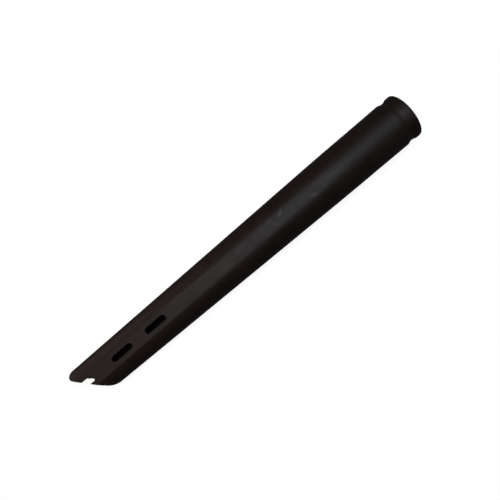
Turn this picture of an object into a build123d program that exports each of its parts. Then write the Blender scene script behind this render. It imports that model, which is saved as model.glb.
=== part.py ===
"""Crevice tool for a vacuum cleaner wand: one hollow plastic moulding, built in millimetres.

A round friction socket runs into a long duct that narrows a little in width and much more in thickness.
The duct's section is an oval with a flat along the top and another along the bottom. The mouth is cut
slantwise and notched in both flats, and two air slots pass through the top flat behind it.

Working frame: the socket's rim is at x = 0 and its axis is the X axis, the duct runs towards -X,
+Y is the side of the mouth's tip and +Z is the face with the slots. The finished tool is then laid on its
bottom flat, with the origin on the surface it lies on, under the middle of its box.
"""
import os
from math import atan, degrees, radians, tan

from build123d import *

# Socket
bore_diameter = 32.0
bore_depth = 45.0
socket_wall = 2.2
socket_draft = 0.2
stop_ledge = 0.8
lead_in = 0.8

# Groove and lip at the socket's rim
lip_length = 4.2
groove_length = 8.0
groove_depth = 1.05
groove_edge_radius = 1.2
rim_radius = 1.4

# Duct, with its width and thickness taken on the axis at the mouth
mouth_reach = 306.8
mouth_width = 29.4
mouth_thickness = 20.0
mouth_wall = 2.0
flat_depth_start = 0.45
flat_depth_mouth = 1.05
taper_blend = 40.0
blend_steps = 5
straight_steps = 8

# Slanted mouth and its notch
mouth_angle = 46.9
tip_radius = 4.0
heel_radius = 9.7
notch_width = 4.9
notch_depth = 5.8
notch_corner_radius = 0.8

# Air slots in the top flat, placed by their distance from the mouth's middle
slot_length = 18.6
slot_width = 4.7
slot_places = (35.0, 66.8)

# Clearances for cutting tools, past the solid that they cut
overshoot = 5.0
side_margin = 0.02

# Sizes that follow
bore_radius = bore_diameter / 2
socket_radius = bore_radius + socket_wall
rim_outside = socket_radius + socket_draft
groove_end = lip_length + groove_length
taper_start = bore_depth
taper_length = mouth_reach - taper_start
half_mouth = mouth_width / 2
flat_start = socket_radius - flat_depth_start
slant = tan(radians(90 - mouth_angle))
tip_run = half_mouth * slant
duct_end = mouth_reach + tip_run + overshoot


def drop(distance, total):
    """How far a side has come in at a distance past the taper's start: a soft start, then a straight line."""
    slope = total / (taper_length - taper_blend / 2)
    if distance < taper_blend:
        return slope * distance**2 / (2 * taper_blend)
    return slope * (distance - taper_blend / 2)


def straight_drop(distance, total):
    """How far a flat has come in: a straight line from the middle of the soft start to the mouth."""
    return total * (distance - taper_blend / 2) / (taper_length - taper_blend / 2)


def cross_plane(reach):
    """Plane across the tool at a distance from the rim, its own X along the width, its own Y upwards."""
    return Plane(origin=(-reach, 0, 0), x_dir=(0, 1, 0), z_dir=(1, 0, 0))


def corner_at(face, x, y):
    """The corner of a flat outline nearest to a place in its own plane."""
    return face.vertices().sort_by_distance((x, y, 0))[0]


def duct(start_inset, mouth_inset):
    """Solid duct from the taper's start to past the tip, inset evenly from the outer skin."""
    half_thickness = mouth_thickness / 2
    width_drop = socket_radius - half_mouth
    oval_drop = socket_radius - half_thickness - flat_depth_mouth
    flat_drop = flat_start - half_thickness

    def inset(distance):
        return start_inset + (mouth_inset - start_inset) * distance / taper_length

    total = duct_end - taper_start
    straight = total - taper_blend
    stations = [taper_blend * step / blend_steps for step in range(blend_steps + 1)]
    stations += [taper_blend + straight * step / straight_steps for step in range(1, straight_steps + 1)]
    ovals = []
    for distance in stations:
        half_width = socket_radius - drop(distance, width_drop) - inset(distance)
        half_height = socket_radius - drop(distance, oval_drop) - inset(distance)
        ovals.append(cross_plane(taper_start + distance) * Ellipse(half_width, half_height))
    body = loft(ovals, ruled=True)

    near = flat_start - straight_drop(0, flat_drop) - inset(0)
    far = flat_start - straight_drop(total, flat_drop) - inset(total)
    side = Polyline(
        (-taper_start, near), (-duct_end, far), (-duct_end, -far), (-taper_start, -near), close=True
    )
    wedge = extrude(Plane.XZ * make_face(side), amount=2 * socket_radius, both=True)
    return body & wedge


def socket_outside():
    """Solid of revolution for the socket's outside: barrel, groove and rounded lip."""
    groove_middle = lip_length + groove_length / 2
    outline = [
        Line((0, 0), (0, rim_outside)),
        Line((0, rim_outside), (-lip_length, rim_outside)),
        ThreePointArc(
            (-lip_length, rim_outside),
            (-groove_middle, rim_outside - groove_depth),
            (-groove_end, rim_outside),
        ),
        Line((-groove_end, rim_outside), (-taper_start, socket_radius)),
        Line((-taper_start, socket_radius), (-taper_start, 0)),
        Line((-taper_start, 0), (0, 0)),
    ]
    section = make_face(Curve() + outline)
    section = fillet(corner_at(section, 0, rim_outside), rim_radius)
    groove_edges = [corner_at(section, -reach, rim_outside) for reach in (lip_length, groove_end)]
    section = fillet(groove_edges, groove_edge_radius)
    return revolve(Plane.XZ * section, axis=Axis.X)


def socket_inside():
    """Bore for the wand, widened a little at the rim."""
    outwards = (Align.CENTER, Align.CENTER, Align.MIN)
    bore = cross_plane(bore_depth) * Cylinder(bore_radius, bore_depth, align=outwards)
    widening = cross_plane(lead_in) * Cone(bore_radius, bore_radius + lead_in, lead_in, align=outwards)
    return bore + widening


def mouth_line(y, setback=0.0):
    """Plan position of the slanted mouth at a place across the width."""
    return -(mouth_reach - setback) - y * slant


def mouth_keeper():
    """Upright prism that holds all of the tool up to the slanted mouth, its tip and heel rounded in plan."""
    side = rim_outside + side_margin
    narrow = half_mouth + side_margin
    bend = -(taper_start + taper_blend / 2)
    run = (socket_radius - half_mouth) / (taper_length - taper_blend / 2)
    tip_y = narrow / (1 + run * slant)
    heel_y = -narrow / (1 - run * slant)
    tip = (mouth_line(tip_y), tip_y)
    heel = (mouth_line(heel_y), heel_y)
    plan = Polyline(
        (overshoot, side), (bend, side), tip, heel, (bend, -side), (overshoot, -side), close=True
    )
    face = make_face(plan)
    face = fillet(corner_at(face, *tip), tip_radius)
    face = fillet(corner_at(face, *heel), heel_radius)
    return extrude(face, amount=2 * socket_radius, both=True)


def notch_cutter():
    """Short channel in from the mouth through both walls, its floor parallel to the slanted cut."""
    half = notch_width / 2
    floor = [(mouth_line(y, notch_depth), y) for y in (half, -half)]
    outside = [(mouth_line(y) - overshoot, y) for y in (-half, half)]
    face = make_face(Polyline(*floor, *outside, close=True))
    face = fillet([corner_at(face, *corner) for corner in floor], notch_corner_radius)
    return extrude(face, amount=2 * socket_radius, both=True)


def slot_cutters():
    """Upright cutters for the air slots, through the top wall alone."""
    outline = SlotOverall(slot_length, slot_width)
    return [extrude(Pos(place - mouth_reach, 0, 0) * outline, amount=socket_radius) for place in slot_places]


def crevice_tool():
    tool = socket_outside() + duct(0, 0)
    tool -= socket_inside()
    tool -= duct(socket_wall + stop_ledge, mouth_wall)
    tool &= mouth_keeper()
    tool -= notch_cutter()
    tool -= slot_cutters()
    return tool


def laid_down(tool):
    """Turn the tool so that its bottom flat is level, and set it on the surface at the middle of its box."""
    flat_slope = (flat_start - mouth_thickness / 2) / (taper_length - taper_blend / 2)
    turned = tool.rotate(Axis.Y, -degrees(atan(flat_slope)))
    box = turned.bounding_box()
    return Pos(-box.center().X, -box.center().Y, -box.min.Z) * turned


os.makedirs("parts", exist_ok=True)
export_step(laid_down(crevice_tool()), "parts/crevice_tool.step")
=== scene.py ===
"""Vacuum crevice tool lying on a pale studio floor, seen from above as in the photograph. Metres, +Z up."""
from math import radians

import bpy
from mathutils import Matrix, Vector

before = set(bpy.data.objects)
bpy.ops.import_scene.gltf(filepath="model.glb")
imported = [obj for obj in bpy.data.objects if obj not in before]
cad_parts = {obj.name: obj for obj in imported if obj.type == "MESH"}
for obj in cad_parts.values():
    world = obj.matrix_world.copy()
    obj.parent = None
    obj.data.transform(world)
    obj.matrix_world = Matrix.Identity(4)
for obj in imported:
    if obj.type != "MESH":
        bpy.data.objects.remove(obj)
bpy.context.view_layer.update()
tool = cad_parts["crevice_tool"]

# Camera, in metres and degrees, its lens in millimetres
camera_place = (-0.00823, -0.03844, 0.41514)
camera_turn = (5.142, 1.941, -40.081)
sensor_width = 36.0
focal_length = 38.85
nearest_seen = 0.01

# Plastic: a warm near-black moulding with a satin skin and a matt inside, whose colour is darkened with
# painted shade
plastic_colour = (0.0062, 0.0027, 0.0025, 1.0)
plastic_light_patch = (0.0078, 0.0034, 0.0031, 1.0)
# Painted shade: a darker colour for the duct's inside, where the hollow is shaded
inside_painted_shade_colour = (0.0022, 0.0014, 0.0014, 1.0)
worn_colour = (0.050, 0.048, 0.046, 1.0)
plastic_specular = 0.185
satin_roughness = (0.49, 0.61)
inside_roughness = 0.95
worn_roughness = 0.5
edge_wear = 0.15

# The tool's own axis, from the middle of the socket's rim
rim_middle = (0.15741, 0.0, 0.01982)
axis_slope = 0.03205

# How far a face looks away from the axis: at the first value it is still skin, at the second it is inside,
# where it gets painted shade
inside_facing = (-0.05, -0.35)

# Softened edges: usual radius, wider radius along the flats, and where along X that grows and fades
edge_round = 0.0004
flat_edge_round = 0.0060
wide_round_grows = (-0.09, 0.0)
wide_round_fades = (0.135, 0.105)
edge_samples = 6

# How well the softened and the true direction of a face agree, away from an edge and on it
edge_agreement = (0.99, 0.80)

# Surface detail, with its sizes in metres
grain_size = 0.0007
grain_detail = 3.0
grain_height = 0.00001
grain_strength = 0.5
patch_size = 0.014
streak_size = (0.06, 0.0012, 0.0012)
streak_share = 0.5
soft_detail = 2.0
noise_range = (0.3, 0.7)
parting_line_width = 0.00025

# Scuffs on the top flat: x, y, turn in degrees, half length, half width, strength
scuffs = [
    (0.0376, 0.0028, 28, 0.0036, 0.0019, 1.0),
    (0.0276, 0.0036, -6, 0.0034, 0.0018, 0.6),
    (0.0306, -0.0021, -51, 0.0044, 0.0017, 0.5),
    (0.0643, -0.0032, -29, 0.0036, 0.0022, 0.8),
]
scuff_height = 0.033
scuff_depth = 0.006
scuff_grain_size = 0.00105
scuff_ragged = (0.25, 0.65)

# Floor, and how bright the floor and the world are to the camera and in what the tool mirrors
floor_reach = 3.0
floor_colour = (0.10, 0.10, 0.10, 1.0)
floor_roughness = 0.9
floor_specular = 0.0
white = (1.0, 1.0, 1.0, 1.0)
background_glow = 0.92
floor_mirrored_glow = 0.03
world_mirrored_glow = 0.10

# Lamps: place, point they aim at, size along and across the tool, spread in degrees, power in watts, colour
tool_middle = (0.0, 0.0, 0.015)
nozzle_middle = (-0.12, 0.0, 0.012)
duct_middle = (-0.06, 0.0, 0.012)
socket_middle = (0.145, 0.0, 0.03)
lamps = {
    "key_softbox": ((0.09, 0.11, 1.20), tool_middle, (0.74, 0.26), 180, 11.2, (0.83, 0.985, 1.0)),
    "warm_softbox": ((-0.35, 0.12, 1.00), nozzle_middle, (0.30, 0.30), 180, 1.7, (1.0, 0.40, 0.28)),
    "side_fill": ((-0.32, 0.42, 0.12), duct_middle, (0.25, 0.20), 60, 0.11, (1.0, 0.76, 0.66)),
    "socket_fill": ((0.62, 0.06, 0.30), socket_middle, (0.20, 0.20), 180, 0.5, (0.95, 0.98, 1.0)),
}


def put(tree, socket, value):
    """Link an input to another node's output, or set it to a value."""
    if isinstance(value, bpy.types.NodeSocket):
        tree.links.new(value, socket)
    else:
        socket.default_value = value


def add_node(tree, kind, inputs, **settings):
    """Add a shader node with its settings, and link or set the inputs that are given."""
    node = tree.nodes.new(kind)
    for name, value in settings.items():
        setattr(node, name, value)
    for name, value in inputs.items():
        put(tree, node.inputs[name], value)
    return node


def sums(tree, operation, *values):
    """A Math node's result."""
    return add_node(tree, "ShaderNodeMath", dict(enumerate(values)), operation=operation).outputs[0]


def vectors(tree, operation, *values):
    """A Vector Math node's result."""
    node = add_node(tree, "ShaderNodeVectorMath", dict(enumerate(values)), operation=operation)
    return node.outputs["Value"] if operation in ("LENGTH", "DOT_PRODUCT") else node.outputs["Vector"]


def axis_parts(tree, vector):
    """A vector's X, Y and Z."""
    return add_node(tree, "ShaderNodeSeparateXYZ", {"Vector": vector}).outputs


def spread(tree, value, low, high, new_low=0.0, new_high=1.0):
    """A value moved from one range to another, held at its ends."""
    inputs = {"Value": value, "From Min": low, "From Max": high, "To Min": new_low, "To Max": new_high}
    return add_node(tree, "ShaderNodeMapRange", inputs).outputs["Result"]


def blend_colour(tree, share, first, second):
    """A colour between two others, by a share from 0 to 1."""
    node = add_node(tree, "ShaderNodeMix", {}, data_type="RGBA")
    sockets = [socket for socket in node.inputs if socket.enabled]
    for socket, value in zip(sockets, (share, first, second)):
        put(tree, socket, value)
    return next(socket for socket in node.outputs if socket.enabled)


def blend_number(tree, share, first, second):
    """A number between two others, by a share from 0 to 1."""
    rise = sums(tree, "SUBTRACT", second, first)
    return sums(tree, "MULTIPLY_ADD", rise, share, first)


def noise(tree, place, size, detail):
    """Soft noise from 0 to 1 with lumps of about the size given."""
    inputs = {"Vector": place, "Scale": 1 / size, "Detail": detail}
    return add_node(tree, "ShaderNodeTexNoise", inputs).outputs["Fac"]


def own_place(tree, place, **inputs):
    """A place as seen from a mark's or pattern's own middle, turn and size."""
    mapping = add_node(tree, "ShaderNodeMapping", {"Vector": place, **inputs}, vector_type="TEXTURE")
    return mapping.outputs["Vector"]


def scuff_marks(tree, place):
    """Share of the surface that is scuffed: a few short ragged marks on the top flat."""
    ragged = noise(tree, place, scuff_grain_size, grain_detail)
    marks = 0.0
    for x, y, turn, half_length, half_width, strength in scuffs:
        from_mark = own_place(
            tree,
            place,
            Location=(x, y, scuff_height),
            Rotation=(0, 0, radians(turn)),
            Scale=(half_length, half_width, scuff_depth),
        )
        reach = vectors(tree, "LENGTH", from_mark)
        near = spread(tree, reach, 1.0, 0.0, 0.0, strength)
        marks = sums(tree, "MAXIMUM", marks, near)
    return sums(tree, "MULTIPLY", marks, spread(tree, ragged, *scuff_ragged))


def new_material(name):
    """A new material, its node tree and its main shader."""
    material = bpy.data.materials.new(name)
    material.use_nodes = True
    tree = material.node_tree
    return material, tree, tree.nodes["Principled BSDF"]


def plastic():
    """Near-black moulded plastic: fine grain, flow streaks, soft edges, a matt inside darkened with painted
    shade, and a few scuffs.
    """
    material, tree, shader = new_material("black_plastic")
    coordinates = add_node(tree, "ShaderNodeTexCoord", {}).outputs
    place = coordinates["Object"]

    # Direction away from the tool's axis, which tells its inside, darkened with painted shade, from its
    # outside
    from_rim = axis_parts(tree, vectors(tree, "SUBTRACT", place, rim_middle))
    height = sums(tree, "SUBTRACT", from_rim["Z"], sums(tree, "MULTIPLY", from_rim["X"], axis_slope))
    away = add_node(tree, "ShaderNodeCombineXYZ", {"Y": from_rim["Y"], "Z": height}).outputs["Vector"]
    facing_out = vectors(tree, "DOT_PRODUCT", vectors(tree, "NORMALIZE", away), coordinates["Normal"])
    inside = spread(tree, facing_out, *inside_facing)

    # Rounded edges, softer along the flats between the slots and the socket, and how sharp each edge is
    along = axis_parts(tree, place)["X"]
    past_slots = spread(tree, along, *wide_round_grows)
    before_rim = spread(tree, along, *wide_round_fades)
    softness = sums(tree, "MULTIPLY", past_slots, before_rim)
    radius = blend_number(tree, softness, edge_round, flat_edge_round)
    rounded = add_node(tree, "ShaderNodeBevel", {"Radius": radius}, samples=edge_samples).outputs["Normal"]
    true_normal = add_node(tree, "ShaderNodeNewGeometry", {}).outputs["Normal"]
    edge = spread(tree, vectors(tree, "DOT_PRODUCT", rounded, true_normal), *edge_agreement)

    # Grain, flow streaks, slow patches, the mould's parting line and wear
    grain = noise(tree, place, grain_size, grain_detail)
    streaks = noise(tree, own_place(tree, place, Scale=streak_size), 1.0, soft_detail)
    patches = noise(tree, place, patch_size, soft_detail)
    parting_line = spread(tree, sums(tree, "ABSOLUTE", height), parting_line_width, 0.0)
    worn = sums(tree, "MAXIMUM", scuff_marks(tree, place), sums(tree, "MULTIPLY", edge, edge_wear))

    colour = blend_colour(tree, spread(tree, patches, *noise_range), plastic_colour, plastic_light_patch)
    colour = blend_colour(tree, worn, colour, worn_colour)
    # Painted shade: the inside of the duct is given a darker colour
    colour = blend_colour(tree, inside, colour, inside_painted_shade_colour)

    uneven = blend_number(tree, streak_share, patches, streaks)
    roughness = spread(tree, uneven, *noise_range, *satin_roughness)
    roughness = blend_number(tree, worn, roughness, worn_roughness)
    roughness = blend_number(tree, inside, roughness, inside_roughness)

    relief = {
        "Height": sums(tree, "ADD", grain, parting_line),
        "Normal": rounded,
        "Distance": grain_height,
        "Strength": grain_strength,
    }
    put(tree, shader.inputs["Base Color"], colour)
    put(tree, shader.inputs["Roughness"], roughness)
    put(tree, shader.inputs["Specular IOR Level"], plastic_specular)
    put(tree, shader.inputs["Normal"], add_node(tree, "ShaderNodeBump", relief).outputs["Normal"])
    return material


def glow_strength(tree, mirrored_glow):
    """Strength of a background that is white to the camera, and dimmer in what the tool mirrors."""
    path = add_node(tree, "ShaderNodeLightPath", {}).outputs
    straight = sums(tree, "MULTIPLY", path["Is Camera Ray"], background_glow)
    mirrored = sums(tree, "MAXIMUM", path["Is Glossy Ray"], path["Is Transmission Ray"])
    return sums(tree, "MULTIPLY_ADD", mirrored, mirrored_glow, straight)


def pale_floor():
    """Pale floor that the camera sees as white, still darkened where the tool shades it."""
    material, tree, shader = new_material("pale_floor")
    put(tree, shader.inputs["Base Color"], floor_colour)
    put(tree, shader.inputs["Roughness"], floor_roughness)
    put(tree, shader.inputs["Specular IOR Level"], floor_specular)
    put(tree, shader.inputs["Emission Color"], white)
    put(tree, shader.inputs["Emission Strength"], glow_strength(tree, floor_mirrored_glow))
    return material


def add_object(name, data):
    """Put a new object into the scene."""
    thing = bpy.data.objects.new(name, data)
    bpy.context.collection.objects.link(thing)
    return thing


def add_floor():
    """Square floor under the tool."""
    mesh = bpy.data.meshes.new("floor")
    signs = [(-1, -1), (1, -1), (1, 1), (-1, 1)]
    corners = [(x * floor_reach, y * floor_reach, 0) for x, y in signs]
    mesh.from_pydata(corners, [], [(0, 1, 2, 3)])
    mesh.materials.append(pale_floor())
    floor = add_object("floor", mesh)


def add_lamp(name, place, aim, size, spread_angle, power, colour):
    """Soft lamp that points at a part of the tool, its first size along the tool."""
    light = bpy.data.lights.new(name, "AREA")
    light.shape = "RECTANGLE"
    light.size, light.size_y = size
    light.spread = radians(spread_angle)
    light.energy = power
    light.color = colour
    lamp = add_object(name, light)
    lamp.location = place
    back = (Vector(place) - Vector(aim)).normalized()
    side = Vector((0, 1, 0)).cross(back).normalized()
    lamp.rotation_euler = Matrix((side, back.cross(side), back)).transposed().to_euler()


def add_camera():
    """Camera at the photograph's place and angle."""
    lens = bpy.data.cameras.new("camera")
    lens.sensor_fit = "HORIZONTAL"
    lens.sensor_width = sensor_width
    lens.lens = focal_length
    lens.clip_start = nearest_seen
    camera = add_object("camera", lens)
    camera.location = camera_place
    camera.rotation_euler = [radians(angle) for angle in camera_turn]
    bpy.context.scene.camera = camera


def set_world():
    """World that is white behind the floor and gives the tool a little to mirror."""
    world = bpy.data.worlds.new("studio")
    bpy.context.scene.world = world
    world.use_nodes = True
    tree = world.node_tree
    background = tree.nodes["Background"].inputs
    put(tree, background["Color"], white)
    put(tree, background["Strength"], glow_strength(tree, world_mirrored_glow))


tool.data.materials.clear()
tool.data.materials.append(plastic())
add_floor()
for lamp_name, lamp_values in lamps.items():
    add_lamp(lamp_name, *lamp_values)
add_camera()
set_world()
bpy.context.scene.view_settings.view_transform = "Standard"
